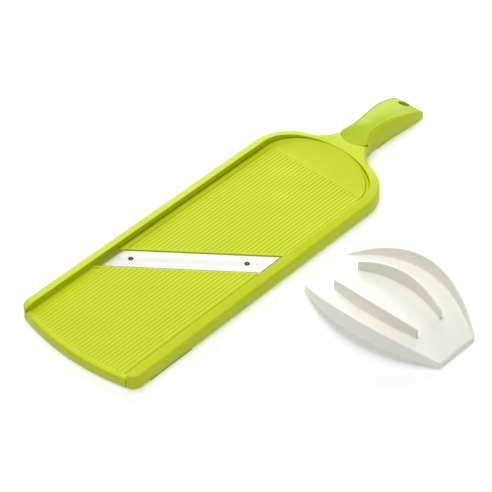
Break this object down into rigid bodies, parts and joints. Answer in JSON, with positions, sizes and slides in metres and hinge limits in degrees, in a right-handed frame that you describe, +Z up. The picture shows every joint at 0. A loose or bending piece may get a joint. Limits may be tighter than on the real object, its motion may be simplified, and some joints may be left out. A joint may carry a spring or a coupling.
{
  "type": "mandoline slicer",
  "caption": "Hand-held mandoline slicer: ribbed board with raised rails, skewed blade, underside thickness dial, grip handle and a loose arched food guard.",
  "frame": {"origin": "on the table plane, under the middle of the set's bounding box (board and guard together)", "axes": "+Y along the board from the discharge end to the handle, +X across the board towards the guard, +Z up"},
  "size_m": [0.2468, 0.3676, 0.0254],
  "materials": {
    "green_plastic": "satin lime-green moulding",
    "soft_green": "smooth semi-gloss soft-touch",
    "blade_steel": "fine lengthwise grain",
    "rivet_steel": "set and polished",
    "steel": "plain",
    "spike_steel": "polished",
    "rubber_grey": "matte",
    "knob_plastic": "fine matte",
    "white_plastic": "satin white moulding"
  },
  "bodies": {
    "board": {"board_frame": "green_plastic", "handle_cover": "soft_green", "handle_screws": "steel", "handle_foot_left": "rubber_grey", "handle_foot_right": "rubber_grey", "front_foot_left": "rubber_grey", "front_foot_right": "rubber_grey", "blade": "blade_steel", "blade_rivets": "rivet_steel", "rivet_washers": "steel", "plate_hinge_rod": "steel", "plate_spring": "steel", "adjuster_retainer": "steel", "retainer_screws": "steel", "detent_spring": "steel"},
    "run_up": {"run_up_plate": "green_plastic"},
    "adjuster": {"adjuster_knob": "knob_plastic"},
    "guard": {"guard_shell": "white_plastic", "guard_spike_plate": "white_plastic", "guard_spikes": "spike_steel", "spike_plate_screws": "steel"}
  },
  "joints": [
    {"name": "adjuster_turn", "type": "hinge", "parent": "board", "child": "adjuster", "pos_m": [-0.0684, 0.02175, 0.0015], "axis": [0, 0, 1], "range_deg": [0, 270]},
    {"name": "run_up_tilt", "type": "hinge", "parent": "board", "child": "run_up", "pos_m": [-0.0684, 0.08175, 0.0032], "axis": [1, 0, 0], "range_deg": [0, 1.09]},
    {"name": "guard_lift", "type": "slide", "parent": "board", "child": "guard", "axis": [0, 0, 1], "range_m": [0, 0.08]}
  ],
  "couplings": [
    {"joint": "run_up_tilt", "follows": "adjuster_turn", "ratio": 0.004032}
  ]
}
